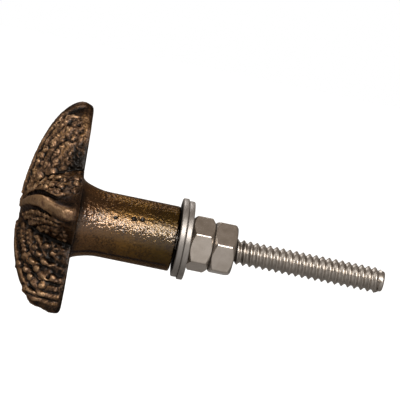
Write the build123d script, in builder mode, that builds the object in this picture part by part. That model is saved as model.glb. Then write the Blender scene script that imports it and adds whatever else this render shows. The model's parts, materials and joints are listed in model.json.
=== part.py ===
from build123d import *
from math import cos, radians, sin, tan
import os

# ---------------------------------------------------------------------------
# Starfish cupboard knob: one casting (starfish head and round neck), a steel
# stud screwed into the neck, two plain washers and two hexagon nuts.
# +Y runs from the head along the stud, +Z runs up through one straight arm.
# The origin lies where the stud leaves the outer nut.  All sizes in mm.
# ---------------------------------------------------------------------------

# Stud
stud_dia = 4.76
stud_free_length = 28.5
stud_tip_length = 1.1
stud_tip_dia = 3.9
stud_core_dia = 3.75
stud_socket_depth = 12.0
thread_pitch = 1.25
thread_crest = 0.18
thread_root = 0.27
thread_start = -0.3

# Hexagon nuts
nut_flats = 9.15
nut_thickness = 4.25
nut_face_dia = 8.7
nut_corner_drop = 0.8
nut_corner_round = 0.45
nut_mouth = 0.35
inner_nut_turn = 5.0
outer_nut_turn = 19.0

# Washers, which hang loose on the stud and lean a little
washer_dia = 14.7
washer_thickness = 1.12
washer_edge_break = 0.2
washer_bore_clearance = 0.25
washer_tilt = 1.6
inner_washer_lift = 0.45
outer_washer_lift = 0.13

# Neck
neck_dia = 12.2
neck_length = 18.8
neck_end_gap = 0.4
neck_end_round = 0.25
neck_root_dia = 15.8
neck_waist_dia = 13.5
neck_waist_from_root = 1.75
neck_flare_length = 5.6

# Starfish head
arm_count = 5
arm_pitch = 360 / arm_count
head_thickness = 10.4
head_lean = 1.8
arm_reach = 21.4
low_arm_reach = 20.2
web_reach = 12.0
side_arm_droop = 11.0
crest_fall_start = 1.66
crest_fall_power = 0.43
low_crest_fall_start = 2.3
low_crest_fall_power = 0.47
web_fall_start = 1.45
web_fall_power = 0.58
flank_fall_start = 1.1
flank_fall_power = 0.55

# Relief of the starfish: a middle rib on every arm and rows of ridges beside it
relief_rise = 0.4
relief_foot = 0.5
rib_start = 3.0
rib_start_width = 0.7
rib_end_width = 3.0
rib_overrun = 1.0
low_rib_gap = 1.6
row_width = 0.8
row_pitch = 1.25
row_first = 2.35
rows_per_side = 3
row_valley_gap = 0.5
row_border = 0.75

# Corner circle of the nuts
nut_corner_dia = nut_flats / cos(radians(30))

# Positions along the axis, counted back from the origin
outer_nut_y = -nut_thickness
inner_nut_y = outer_nut_y - nut_thickness
washer_lean_room = nut_face_dia / 2 * tan(radians(washer_tilt))
washer_reach = washer_thickness / cos(radians(washer_tilt))
outer_washer_y = inner_nut_y - washer_lean_room - washer_reach
inner_washer_y = outer_washer_y - washer_reach
neck_end_y = inner_washer_y - neck_end_gap
head_back_y = neck_end_y - neck_length
socket_y = neck_end_y - stud_socket_depth

# Back face of the head, facing the front and leaning a little out of square
head_plane = Plane(
    origin=(0, head_back_y, 0),
    x_dir=(1, 0, 0),
    z_dir=(0, -cos(radians(head_lean)), -sin(radians(head_lean))),
)

# Inner faces of the two washers, facing back along the stud
inner_washer_plane = Plane(
    origin=(0, inner_washer_y - inner_washer_lift * tan(radians(washer_tilt)), inner_washer_lift),
    x_dir=(1, 0, 0),
    z_dir=(0, -cos(radians(washer_tilt)), -sin(radians(washer_tilt))),
)
outer_washer_plane = Plane(
    origin=(0, outer_washer_y - outer_washer_lift * tan(radians(washer_tilt)), outer_washer_lift),
    x_dir=(1, 0, 0),
    z_dir=(0, -cos(radians(washer_tilt)), -sin(radians(washer_tilt))),
)

# Heights, as shares of the head's thickness, at which the starfish is drawn
levels = (0.0, 0.2, 0.42, 0.62, 0.78, 0.89, 0.96, 0.99)


def arm_reach_of(arm):
    """Reach of one arm; the two legs are a little shorter than the rest."""
    return low_arm_reach if arm in (2, 3) else arm_reach


def arm_share_of(arm, level):
    """Share of an arm's reach that is left at one level, measured along its crest."""
    low = arm in (2, 3)
    start = low_crest_fall_start if low else crest_fall_start
    power = low_crest_fall_power if low else crest_fall_power
    return (1 - level ** (1 / power)) ** (1 / start)


def arm_droop_of(arm):
    """Sideways curl of one arm's tip; only the two side arms droop."""
    return {1: side_arm_droop, 4: -side_arm_droop}.get(arm, 0.0)


def arm_point(arm, along, aside):
    """Point in the head's plane, given along and across one arm."""
    droop = arm_droop_of(arm) * (along / arm_reach) ** 3
    turn = radians(arm * arm_pitch + droop)
    x = along * sin(turn) + aside * cos(turn)
    z = along * cos(turn) - aside * sin(turn)
    return (x, z)


def web_point(arm, web):
    """Point in the web between one arm and the next."""
    turn = radians((arm + 0.5) * arm_pitch)
    return (web * sin(turn), web * cos(turn))


def arm_outline(arm, level, rise=0.0):
    """Points from web to web round one arm, at one level of the head."""
    half_pitch = radians(arm_pitch / 2)
    web_share = (1 - level ** (1 / web_fall_power)) ** (1 / web_fall_start)
    reach = (arm_reach_of(arm) + rise) * arm_share_of(arm, level)
    web = (web_reach + rise) * web_share
    web_along = web * cos(half_pitch)
    web_aside = web * sin(half_pitch)
    flank = []
    for share in (0.2, 0.5, 0.82):
        along = web_along + share * (reach - web_along)
        aside = web_aside * (1 - share ** flank_fall_start) ** flank_fall_power
        flank.append((along, aside))
    near_side = [arm_point(arm, along, -aside) for along, aside in flank]
    far_side = [arm_point(arm, along, aside) for along, aside in reversed(flank)]
    tip = arm_point(arm, reach, 0)
    return [web_point(arm - 1, web), *near_side, tip, *far_side, web_point(arm, web)]


def strip(arm, halves, start, end):
    """Corners of a strip along one arm; halves are its two edges at each end."""
    shares = (0, 0.35, 0.7, 1) if arm_droop_of(arm) else (0, 1)
    near_side = []
    far_side = []
    for share in shares:
        along = start + share * (end - start)
        near = halves[0][0] + share * (halves[1][0] - halves[0][0])
        far = halves[0][1] + share * (halves[1][1] - halves[0][1])
        near_side.append(arm_point(arm, along, near))
        far_side.append(arm_point(arm, along, far))
    return near_side + far_side[::-1]


def rib_outline(arm):
    """Corners of one arm's middle rib, a wedge that widens towards the tip."""
    start, end = rib_start_width / 2, rib_end_width / 2
    stop = low_arm_reach - low_rib_gap if arm in (2, 3) else arm_reach + rib_overrun
    return strip(arm, ((-start, start), (-end, end)), rib_start, stop)


def row_outline(arm, side, number):
    """Corners of one row beside the rib, from the valley to the arm's border."""
    half_pitch = radians(arm_pitch / 2)
    aside = row_first + number * row_pitch
    start = (row_valley_gap + aside * cos(half_pitch)) / sin(half_pitch)
    web_along = web_reach * cos(half_pitch)
    web_aside = web_reach * sin(half_pitch)
    narrowing = ((aside + row_border) / web_aside) ** (1 / flank_fall_power)
    share = (1 - narrowing) ** (1 / flank_fall_start)
    end = web_along + share * (arm_reach_of(arm) - web_along)
    edges = sorted((side * (aside - row_width / 2), side * (aside + row_width / 2)))
    return strip(arm, (edges, edges), start, end)


# --- Relief: a starfish one rise larger, kept only under the ribs and rows,
# and only on one side of the middle -----------------------------------------
with BuildPart() as relief:
    for level in levels:
        rise = relief_rise * min(1, 10 * level - 1)
        height = relief_foot + (head_thickness + relief_rise - relief_foot) * level
        with BuildSketch(head_plane.offset(height)):
            with BuildLine():
                for arm in range(arm_count):
                    Spline(*arm_outline(arm, level, rise))
            make_face()
    loft()
    with BuildSketch(head_plane.offset(relief_foot / 2)):
        for arm in (0, 1, 2):
            with BuildLine():
                Polyline(*rib_outline(arm), close=True)
            make_face()
            for side in (-1, 1):
                for number in range(rows_per_side):
                    with BuildLine():
                        Polyline(*row_outline(arm, side, number), close=True)
                    make_face()
        Rectangle(4 * arm_reach, 4 * arm_reach, align=(Align.MIN, Align.CENTER), mode=Mode.INTERSECT)
    extrude(amount=head_thickness * 2, mode=Mode.INTERSECT)

# --- Casting: starfish head, neck and the blind socket of the stud ----------
with BuildPart() as casting:
    # Starfish: outlines stacked from the flat back to the crown
    for level in levels:
        with BuildSketch(head_plane.offset(head_thickness * level)):
            with BuildLine():
                for arm in range(arm_count):
                    Spline(*arm_outline(arm, level))
            make_face()
    loft()
    split(bisect_by=Plane.YZ, keep=Keep.TOP)
    add(relief.part)
    mirror(about=Plane.YZ)

    # Neck with its flare into the back of the head
    with BuildSketch(Plane.YZ):
        with BuildLine():
            flare = Spline(
                (head_back_y, neck_root_dia / 2),
                (head_back_y + neck_waist_from_root, neck_waist_dia / 2),
                (head_back_y + neck_flare_length, neck_dia / 2),
                tangents=((0.5, -1), (1, 0)),
            )
            Polyline(
                flare @ 1,
                (neck_end_y, neck_dia / 2),
                (neck_end_y, 0),
                (head_back_y - 2, 0),
                (head_back_y - 2, neck_root_dia / 2),
                flare @ 0,
            )
        make_face()
    revolve(axis=Axis.Y)
    end_edge = casting.edges().filter_by(GeomType.CIRCLE).sort_by(Axis.Y)[-1]
    fillet(end_edge, radius=neck_end_round)

    # Socket for the stud
    with BuildSketch(Plane.XZ.offset(-neck_end_y)):
        Circle(stud_core_dia / 2)
    extrude(amount=stud_socket_depth, mode=Mode.SUBTRACT)

# --- Stud: at its core diameter through the nuts and in the socket, threaded
# where it is free, with a reduced pilot at its end -------------------------
thread_length = stud_free_length - stud_tip_length
thread_turns = int((thread_length - thread_start) / thread_pitch)
thread_flank = (thread_pitch - thread_crest - thread_root) / 2
ridges = []
for turn in range(thread_turns):
    rise_y = thread_start + thread_root / 2 + turn * thread_pitch
    crest_y = rise_y + thread_flank
    ridges += [
        (rise_y, stud_core_dia / 2),
        (crest_y, stud_dia / 2),
        (crest_y + thread_crest, stud_dia / 2),
        (crest_y + thread_crest + thread_flank, stud_core_dia / 2),
    ]

with BuildPart() as stud:
    with BuildSketch(Plane.YZ):
        with BuildLine():
            Polyline(
                (socket_y, 0),
                (socket_y, stud_core_dia / 2),
                *ridges,
                (thread_length, stud_core_dia / 2),
                (thread_length, stud_tip_dia / 2),
                (stud_free_length, stud_tip_dia / 2),
                (stud_free_length, 0),
                close=True,
            )
        make_face()
    revolve(axis=Axis.Y)
    tip_edge = stud.edges().filter_by(GeomType.CIRCLE).sort_by(Axis.Y)[-1]
    chamfer(tip_edge, length=stud_tip_length / 5)

# --- Washers: plain rings with broken rims, loose on the stud --------------
with BuildPart() as inner_washer:
    with BuildSketch(inner_washer_plane):
        Circle(washer_dia / 2)
        Circle(stud_dia / 2 + washer_bore_clearance, mode=Mode.SUBTRACT)
    extrude(amount=-washer_thickness)
    rims = inner_washer.edges().filter_by(GeomType.CIRCLE).sort_by(SortBy.LENGTH)[-2:]
    chamfer(rims, length=washer_edge_break)

with BuildPart() as outer_washer:
    with BuildSketch(outer_washer_plane):
        Circle(washer_dia / 2)
        Circle(stud_dia / 2 + washer_bore_clearance, mode=Mode.SUBTRACT)
    extrude(amount=-washer_thickness)
    rims = outer_washer.edges().filter_by(GeomType.CIRCLE).sort_by(SortBy.LENGTH)[-2:]
    chamfer(rims, length=washer_edge_break)

# --- Nuts: rounded hexagons turned down at the corners of both faces --------
with BuildPart() as inner_nut:
    with BuildSketch(Plane.YZ):
        with BuildLine():
            Polyline(
                (inner_nut_y, 0),
                (inner_nut_y, nut_face_dia / 2),
                (inner_nut_y + nut_corner_drop, nut_corner_dia / 2),
                (inner_nut_y + nut_thickness - nut_corner_drop, nut_corner_dia / 2),
                (inner_nut_y + nut_thickness, nut_face_dia / 2),
                (inner_nut_y + nut_thickness, 0),
                close=True,
            )
        make_face()
    revolve(axis=Axis.Y)
    with BuildSketch(Plane.XZ.offset(-inner_nut_y)) as inner_hexagon:
        RegularPolygon(nut_flats / 2, 6, major_radius=False, rotation=inner_nut_turn)
        fillet(inner_hexagon.vertices(), radius=nut_corner_round)
    extrude(amount=-nut_thickness, mode=Mode.INTERSECT)
    with BuildSketch(Plane.XZ.offset(-inner_nut_y)):
        Circle(stud_core_dia / 2)
    extrude(amount=-nut_thickness, mode=Mode.SUBTRACT)
    mouths = inner_nut.edges().filter_by(GeomType.CIRCLE).sort_by(SortBy.LENGTH)
    mouths = mouths.filter_by(lambda edge: abs(edge.radius - stud_core_dia / 2) < 0.01)
    chamfer(mouths, length=nut_mouth)

with BuildPart() as outer_nut:
    with BuildSketch(Plane.YZ):
        with BuildLine():
            Polyline(
                (outer_nut_y, 0),
                (outer_nut_y, nut_face_dia / 2),
                (outer_nut_y + nut_corner_drop, nut_corner_dia / 2),
                (outer_nut_y + nut_thickness - nut_corner_drop, nut_corner_dia / 2),
                (outer_nut_y + nut_thickness, nut_face_dia / 2),
                (outer_nut_y + nut_thickness, 0),
                close=True,
            )
        make_face()
    revolve(axis=Axis.Y)
    with BuildSketch(Plane.XZ.offset(-outer_nut_y)) as outer_hexagon:
        RegularPolygon(nut_flats / 2, 6, major_radius=False, rotation=outer_nut_turn)
        fillet(outer_hexagon.vertices(), radius=nut_corner_round)
    extrude(amount=-nut_thickness, mode=Mode.INTERSECT)
    with BuildSketch(Plane.XZ.offset(-outer_nut_y)):
        Circle(stud_core_dia / 2)
    extrude(amount=-nut_thickness, mode=Mode.SUBTRACT)
    mouths = outer_nut.edges().filter_by(GeomType.CIRCLE)
    mouths = mouths.filter_by(lambda edge: abs(edge.radius - stud_core_dia / 2) < 0.01)
    chamfer(mouths, length=nut_mouth)

# --- Labels and files -------------------------------------------------------
os.makedirs("parts", exist_ok=True)

casting.part.label = "starfish_casting"
export_step(casting.part, "parts/starfish_casting.step")

stud.part.label = "stud"
export_step(stud.part, "parts/stud.step")

inner_washer.part.label = "inner_washer"
export_step(inner_washer.part, "parts/inner_washer.step")

outer_washer.part.label = "outer_washer"
export_step(outer_washer.part, "parts/outer_washer.step")

inner_nut.part.label = "inner_nut"
export_step(inner_nut.part, "parts/inner_nut.step")

outer_nut.part.label = "outer_nut"
export_step(outer_nut.part, "parts/outer_nut.step")
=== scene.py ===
"""Dressed model of a starfish cupboard knob with its threaded stud, washers and nuts."""

import json
import logging
import math
import random
from contextlib import contextmanager
from dataclasses import dataclass, field
from enum import Enum
from typing import Callable, Iterator, Sequence

import bmesh
import bpy
import numpy as np
from mathutils import Matrix, Vector, noise
from mathutils.kdtree import KDTree

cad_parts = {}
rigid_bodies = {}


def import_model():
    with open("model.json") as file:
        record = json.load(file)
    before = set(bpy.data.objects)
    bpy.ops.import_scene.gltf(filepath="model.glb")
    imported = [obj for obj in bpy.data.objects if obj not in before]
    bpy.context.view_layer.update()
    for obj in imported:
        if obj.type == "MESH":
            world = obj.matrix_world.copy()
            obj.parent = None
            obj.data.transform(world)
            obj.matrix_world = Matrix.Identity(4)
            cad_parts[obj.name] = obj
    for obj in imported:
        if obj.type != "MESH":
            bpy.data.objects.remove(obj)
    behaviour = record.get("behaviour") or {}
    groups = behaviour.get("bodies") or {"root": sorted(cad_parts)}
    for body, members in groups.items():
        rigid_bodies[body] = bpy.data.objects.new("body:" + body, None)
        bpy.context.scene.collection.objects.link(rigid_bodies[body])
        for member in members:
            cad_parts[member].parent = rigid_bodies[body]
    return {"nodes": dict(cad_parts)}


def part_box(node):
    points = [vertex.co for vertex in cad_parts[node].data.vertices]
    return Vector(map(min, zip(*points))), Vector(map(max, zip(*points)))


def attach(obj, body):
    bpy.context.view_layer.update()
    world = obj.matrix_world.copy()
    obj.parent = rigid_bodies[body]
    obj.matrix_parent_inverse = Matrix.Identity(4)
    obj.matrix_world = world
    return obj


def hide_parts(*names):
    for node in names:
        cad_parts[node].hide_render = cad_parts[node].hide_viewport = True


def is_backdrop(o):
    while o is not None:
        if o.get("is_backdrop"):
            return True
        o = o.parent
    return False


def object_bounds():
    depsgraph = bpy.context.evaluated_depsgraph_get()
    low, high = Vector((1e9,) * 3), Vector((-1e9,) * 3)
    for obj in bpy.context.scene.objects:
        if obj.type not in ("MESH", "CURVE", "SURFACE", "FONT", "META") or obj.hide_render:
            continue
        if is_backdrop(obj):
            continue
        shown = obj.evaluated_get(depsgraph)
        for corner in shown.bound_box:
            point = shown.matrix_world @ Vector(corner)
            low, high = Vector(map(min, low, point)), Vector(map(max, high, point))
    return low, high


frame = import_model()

LOG = logging.getLogger("starfish_knob")
MM = 0.001
ARMS = 5
ARM_STEP = 72.0  # degrees from one arm to the next
SENSOR = 36.0  # width of the camera's sensor in mm
Array = np.ndarray
Colour = Place = tuple[float, float, float]
Material = bpy.types.Material
Piece = bpy.types.Object
RingShape = Callable[[float], tuple[float, float]]
Socket = bpy.types.NodeSocket


# ---- Small helpers ----


def rgba(colour: Colour) -> tuple[float, float, float, float]:
    """Returns a linear colour with full alpha."""
    return (*colour, 1.0)


def deselect() -> None:
    """Goes back to object mode with nothing selected."""
    if bpy.context.object and bpy.context.object.mode != "OBJECT":
        bpy.ops.object.mode_set(mode="OBJECT")
    bpy.ops.object.select_all(action="DESELECT")


def only(*pieces: Piece) -> None:
    """Selects some pieces and nothing else.

    Args:
        *pieces: What to select; the first becomes active.
    """
    deselect()
    for piece in pieces:
        piece.select_set(True)
    bpy.context.view_layer.objects.active = pieces[0]


@contextmanager
def editing(piece: Piece) -> Iterator[None]:
    """Opens a piece in edit mode with everything selected, and closes it after.

    Args:
        piece: The mesh object to edit.

    Yields:
        Nothing; the piece is open meanwhile.
    """
    only(piece)
    bpy.ops.object.mode_set(mode="EDIT")
    bpy.ops.mesh.select_all(action="SELECT")
    yield
    bpy.ops.object.mode_set(mode="OBJECT")


def rename(name: str) -> Piece:
    """Names the active object and its mesh.

    Args:
        name: The piece's name.

    Returns:
        The active object.
    """
    piece = bpy.context.object
    piece.name = piece.data.name = name
    return piece


def circle(name: str, count: int) -> Piece:
    """Adds an open circle of points, to be moved into place.

    Args:
        name: The piece's name.
        count: Number of points.

    Returns:
        The new mesh object.
    """
    deselect()
    bpy.ops.mesh.primitive_circle_add(vertices=count, radius=MM, fill_type="NOTHING")
    return rename(name)


def modify(piece: Piece, name: str, kind: str, **settings: object) -> None:
    """Adds a modifier.

    Args:
        piece: The object that gets it.
        name: The modifier's name.
        kind: Its type.
        **settings: Its options by name.
    """
    made = piece.modifiers.new(name, kind)
    for key, value in settings.items():
        setattr(made, key, value)


def apply_all(piece: Piece) -> None:
    """Applies every modifier of a piece, in order.

    Args:
        piece: The object whose modifiers are made real.
    """
    only(piece)
    for modifier in list(piece.modifiers):
        bpy.ops.object.modifier_apply(modifier=modifier.name)


def face_outwards(piece: Piece, merge: float = 1e-7) -> None:
    """Merges points closer than a distance in metres and turns every face outwards."""
    with editing(piece):
        bpy.ops.mesh.remove_doubles(threshold=merge)
        bpy.ops.mesh.normals_make_consistent(inside=False)


def smooth(piece: Piece, degrees: float) -> None:
    """Shades a piece smooth, apart from edges sharper than an angle."""
    only(piece)
    bpy.ops.object.shade_smooth_by_angle(angle=math.radians(degrees))


def table(items: bpy.types.bpy_prop_collection, name: str, width: int, kind: type) -> Array:
    """Reads one property of every point or edge of a mesh.

    Args:
        items: The points or edges.
        name: The property's name.
        width: How many numbers it has.
        kind: Type of the numbers.

    Returns:
        One row for each point or edge.
    """
    flat = np.empty(len(items) * width, dtype=kind)
    items.foreach_get(name, flat)
    return flat.reshape(-1, width)


def points_of(piece: Piece) -> Array:
    """Returns the points of a piece at the origin, in mm, one row each."""
    return table(piece.data.vertices, "co", 3, np.float32).astype(float) / MM


def normals_of(piece: Piece) -> Array:
    """Returns the unit normal at each point of a piece."""
    return table(piece.data.vertices, "normal", 3, np.float32).astype(float)


def set_points(piece: Piece, points: Array) -> None:
    """Writes a piece's points back, given in mm."""
    piece.data.vertices.foreach_set("co", (points * MM).astype(np.float32).ravel())
    piece.data.update()


def write_mask(piece: Piece, name: str, values: Array) -> None:
    """Stores one number per point as a named attribute."""
    layer = piece.data.attributes.new(name=name, type="FLOAT", domain="POINT")
    layer.data.foreach_set("value", values.astype(np.float32))


def solid_box(node: str) -> tuple[Array, Array]:
    """Returns the low and high corner of a node's solid, in mm."""
    low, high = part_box(node)
    return np.array(low) / MM, np.array(high) / MM


def ease(values: Array, start: float | Array, length: float) -> Array:
    """Returns 0 before a start and 1 past a length from it; a negative length falls."""
    return np.clip((values - start) / length, 0, 1)


def bell(values: Array) -> Array:
    """Returns 1 where the values are 0, falling away on both sides."""
    return np.exp(-(values ** 2))


# ---- Finishes ----


class Shading:
    """Adds and joins the nodes of one material or group."""

    def __init__(self, tree: bpy.types.NodeTree) -> None:
        """Keeps the tree that the nodes go into."""
        self.tree = tree

    def node(self, kind: str, **settings: object) -> bpy.types.Node:
        """Adds a node and sets its options and plain socket values.

        Args:
            kind: The node's type name.
            **settings: Options by name; names of input sockets set their values.

        Returns:
            The new node.
        """
        made = self.tree.nodes.new(kind)
        for key, value in settings.items():
            if hasattr(made, key):
                setattr(made, key, value)
            else:
                made.inputs[key.replace("_", " ")].default_value = value
        return made

    def link(self, source: Socket, target: Socket) -> None:
        """Joins an output to an input."""
        self.tree.links.new(source, target)

    def through(self, source: Socket, kind: str, ends: tuple[str, str], **settings: object) -> Socket:
        """Adds a node that a value runs through.

        Args:
            source: The value.
            kind: The node's type name.
            ends: Names of the input that takes the value and of the output.
            **settings: As for a node.

        Returns:
            The output.
        """
        made = self.node(kind, **settings)
        self.link(source, made.inputs[ends[0]])
        return made.outputs[ends[1]]

    def fill(self, slot: Socket, value: object) -> None:
        """Gives an input a number or a colour, or joins a socket to it.

        Args:
            slot: The input.
            value: A number, a colour or an output socket.
        """
        if isinstance(value, (int, float)):
            slot.default_value = value
        elif isinstance(value, tuple):
            slot.default_value = rgba(value)
        else:
            self.link(value, slot)

    def maths(self, operation: str, first: object, second: object) -> Socket:
        """Adds a Math node.

        Args:
            operation: The node's operation.
            first: A socket or a number.
            second: A socket or a number.

        Returns:
            The node's output.
        """
        made = self.node("ShaderNodeMath", operation=operation)
        self.fill(made.inputs[0], first)
        self.fill(made.inputs[1], second)
        return made.outputs[0]

    def plus(self, first: object, second: object) -> Socket:
        """Returns the sum of two sockets or numbers."""
        return self.maths("ADD", first, second)

    def minus(self, first: object, second: object) -> Socket:
        """Returns the first socket or number less the second."""
        return self.maths("SUBTRACT", first, second)

    def times(self, first: object, second: object) -> Socket:
        """Returns the product of two sockets or numbers."""
        return self.maths("MULTIPLY", first, second)

    def mask(self, name: str) -> Socket:
        """Returns the value of a mask that the mesh carries."""
        return self.node("ShaderNodeAttribute", attribute_name=name).outputs["Fac"]

    def axes(self, output: str = "Object") -> Sequence[Socket]:
        """Returns the X, Y and Z of a texture coordinate."""
        split = self.node("ShaderNodeSeparateXYZ")
        self.link(self.node("ShaderNodeTexCoord").outputs[output], split.inputs[0])
        return split.outputs

    def span(self, source: Socket, low: float, high: float, shape: str = "LINEAR") -> Socket:
        """Maps a value from a range, low to high, onto 0 to 1."""
        run = {"interpolation_type": shape, "From_Min": low, "From_Max": high}
        return self.through(source, "ShaderNodeMapRange", ("Value", "Result"), **run)

    def ramp(self, source: Socket, stops: Sequence[tuple[float, Colour]]) -> Socket:
        """Adds a colour ramp.

        Args:
            source: The value that runs along the ramp.
            stops: Position and colour of each stop.

        Returns:
            The ramp's colour output.
        """
        made = self.node("ShaderNodeValToRGB")
        band = made.color_ramp
        while len(band.elements) < len(stops):
            band.elements.new(0.5)
        for element, (place, colour) in zip(band.elements, stops):
            element.position = place
            element.color = rgba(colour)
        self.link(source, made.inputs["Fac"])
        return made.outputs["Color"]

    def mix(self, share: object, first: object, second: object, blend: str = "MIX") -> Socket:
        """Adds a colour mix.

        Args:
            share: A socket or number from 0, first, to 1, second.
            first: A socket or colour.
            second: A socket or colour.
            blend: How the two are mixed.

        Returns:
            The mixed colour.
        """
        made = self.node("ShaderNodeMix", data_type="RGBA", blend_type=blend)
        for number, value in ((0, share), (6, first), (7, second)):
            self.fill(made.inputs[number], value)
        return made.outputs[2]

    def bump(self, relief: Socket, strength: float, depth: float) -> Socket:
        """Turns a relief of about 0 to 1 into a normal; its depth is in metres."""
        return self.through(relief, "ShaderNodeBump", ("Height", "Normal"), Strength=strength, Distance=depth)


def new_finish(name: str) -> tuple[Material, Shading, bpy.types.Node]:
    """Starts a material.

    Args:
        name: The material's name.

    Returns:
        The material, its node kit and its Principled shader.
    """
    made = bpy.data.materials.new(name)
    made.use_nodes = True
    return made, Shading(made.node_tree), made.node_tree.nodes["Principled BSDF"]


class GrainGroup:
    """Shared surface grain: cloudy mottling, fine grit, ripples and small pits."""

    name = "metal_grain"
    scales = (("Cloud Scale", 300.0), ("Grit Scale", 2500.0), ("Ripple Scale", 1500.0), ("Pit Scale", 1200.0))

    @classmethod
    def get(cls) -> bpy.types.NodeTree:
        """Builds the group once and returns it.

        Returns:
            The node group, with inputs for scale and outputs for its values.
        """
        if cls.name in bpy.data.node_groups:
            return bpy.data.node_groups[cls.name]
        tree = bpy.data.node_groups.new(cls.name, "ShaderNodeTree")
        for label, value in cls.scales:
            socket = tree.interface.new_socket(label, in_out="INPUT", socket_type="NodeSocketFloat")
            socket.default_value = value
        for label in ("Cloud", "Grit", "Ripple", "Pits"):
            tree.interface.new_socket(label, in_out="OUTPUT", socket_type="NodeSocketFloat")
        kit = Shading(tree)
        given, result = kit.node("NodeGroupInput"), kit.node("NodeGroupOutput")
        place = kit.node("ShaderNodeTexCoord").outputs["Object"]
        for label, detail, roughness in (("Cloud", 4.0, 0.6), ("Grit", 3.0, 0.65), ("Ripple", 2.0, 0.5)):
            cloudy = kit.node("ShaderNodeTexNoise", Detail=detail, Roughness=roughness)
            kit.link(place, cloudy.inputs["Vector"])
            kit.link(given.outputs[label + " Scale"], cloudy.inputs["Scale"])
            kit.link(cloudy.outputs["Fac"], result.inputs[label])
        pits = kit.node("ShaderNodeTexVoronoi", Randomness=1.0)
        kit.link(place, pits.inputs["Vector"])
        kit.link(given.outputs["Pit Scale"], pits.inputs["Scale"])
        kit.link(kit.span(pits.outputs["Distance"], 0.05, 0.38), result.inputs["Pits"])
        return tree

    @classmethod
    def add_to(cls, kit: Shading, **scales: float) -> Sequence[Socket]:
        """Puts the group in a material with its own scales.

        Args:
            kit: The material's nodes.
            **scales: Scale of each kind of grain, per metre.

        Returns:
            The group's outputs.
        """
        return kit.node("ShaderNodeGroup", node_tree=cls.get(), **scales).outputs


@dataclass(frozen=True)
class AntiqueBrass:
    """Dark antique brass, rubbed brighter where the relief stands up."""

    name: str = "antique_brass"
    hollow: Colour = (0.008, 0.005, 0.003)
    body: Colour = (0.092, 0.051, 0.028)
    rubbed: Colour = (0.27, 0.155, 0.092)
    gilt: Colour = (0.30, 0.165, 0.070)
    bright: Colour = (0.46, 0.29, 0.16)
    # grey that darkens the head where the greying mask is high: most on the two lower arms, least on the top
    # arm
    greying: Colour = (0.36, 0.33, 0.30)
    edge: Colour = (0.55, 0.45, 0.36)
    neck_shade: Colour = (0.030, 0.014, 0.005)
    neck_rose: Colour = (0.145, 0.070, 0.026)
    neck_brown: Colour = (0.148, 0.072, 0.013)
    # olive tone, darkened as painted shade where the key's light falls off towards the washer
    neck_olive_and_shade: Colour = (0.076, 0.040, 0.004)
    grit_share: float = 1.1
    bump_depth: float = 0.0001

    def head_colour(self, kit: Shading, level: Socket, cloud: Socket) -> Socket:
        """Colours the head from dark hollows to rubbed tops; the height mask also brings painted shade and a
        painted highlight.

        Args:
            kit: The material's nodes.
            level: Height of the relief with its grain.
            cloud: The cloudy mottling, around 0.

        Returns:
            The colour.
        """
        cool = ((0.2, self.hollow), (0.48, self.body), (0.85, self.rubbed), (1.0, self.bright))
        warm = ((0.2, self.hollow), (0.52, self.body), (0.85, self.gilt), (1.0, self.bright))
        head = kit.mix(kit.span(cloud, -0.06, 0.12), kit.ramp(level, cool), kit.ramp(level, warm))
        return kit.mix(kit.mask("greying"), head, kit.mix(1.0, head, self.greying, "MULTIPLY"))

    def neck_colour(self, kit: Shading, along: Socket, tone: Socket, height: Socket) -> Socket:
        """Colours the neck from rose at the head to olive at its end, darker there as painted shade where the
        key's light falls off.

        Args:
            kit: The material's nodes.
            along: Place along the neck, in metres.
            tone: Mottling, around 0.
            height: Height of the relief, low in the casting pits.

        Returns:
            The colour.
        """
        # the olive end is darker: its own tone plus painted shade where the key's light falls off
        stops = ((0.1, self.neck_rose), (0.5, self.neck_brown), (0.85, self.neck_olive_and_shade))
        shaft = kit.ramp(kit.span(along, -0.030, -0.0112), stops)
        shaft = kit.mix(kit.span(tone, -0.26, 0.06), self.neck_shade, shaft)
        return kit.mix(kit.span(height, 0.5, 0.3), shaft, self.hollow)

    def build(self) -> Material:
        """Makes the material.

        Returns:
            A material that reads the casting's height, greying and neck masks.
        """
        made, kit, shader = new_finish(self.name)
        scales = {"Cloud_Scale": 420.0, "Grit_Scale": 3200.0, "Ripple_Scale": 1700.0, "Pit_Scale": 1900.0}
        grain = GrainGroup.add_to(kit, **scales)
        height, neck = kit.mask("height"), kit.mask("neck")
        _, along, above = kit.axes()
        cloud = kit.minus(grain["Cloud"], 0.5)
        grit = kit.times(kit.minus(grain["Grit"], 0.5), self.grit_share)
        level = kit.plus(kit.plus(height, kit.times(cloud, 0.6)), grit)
        shaft = self.neck_colour(kit, along, kit.plus(kit.times(cloud, 0.7), grit), height)
        kit.link(kit.mix(neck, self.head_colour(kit, level, cloud), shaft), shader.inputs["Base Color"])
        rough = kit.minus(kit.minus(0.50, kit.times(level, 0.16)), kit.times(neck, 0.19))
        kit.link(rough, shader.inputs["Roughness"])
        shader.inputs["Metallic"].default_value = 0.95
        shader.inputs["Specular Tint"].default_value = rgba(self.edge)
        relief = kit.plus(kit.times(grain["Grit"], 0.7), kit.times(grain["Pits"], 0.3))
        relief = kit.times(relief, kit.minus(1.0, kit.times(neck, 0.6)))
        relief = kit.plus(relief, kit.times(neck, kit.times(grain["Ripple"], 2.2)))
        normal = kit.bump(relief, 1.0, self.bump_depth)
        kit.link(normal, shader.inputs["Normal"])
        kit.link(normal, shader.inputs["Coat Normal"])
        # painted highlight: the coat is strong only in a band from about 2 mm below to 3 mm above the neck's
        # axis height, where the key's reflection falls, and thin elsewhere
        highlight_band = kit.times(kit.span(above, -0.0022, 0.0002), kit.span(above, 0.0032, 0.0016))
        coat_and_painted_highlight = kit.plus(kit.times(highlight_band, 0.62), 0.04)
        kit.link(kit.plus(kit.times(neck, coat_and_painted_highlight), 0.10), shader.inputs["Coat Weight"])
        shader.inputs["Coat Roughness"].default_value = 0.08
        shader.inputs["Coat IOR"].default_value = 1.8
        return made


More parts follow.
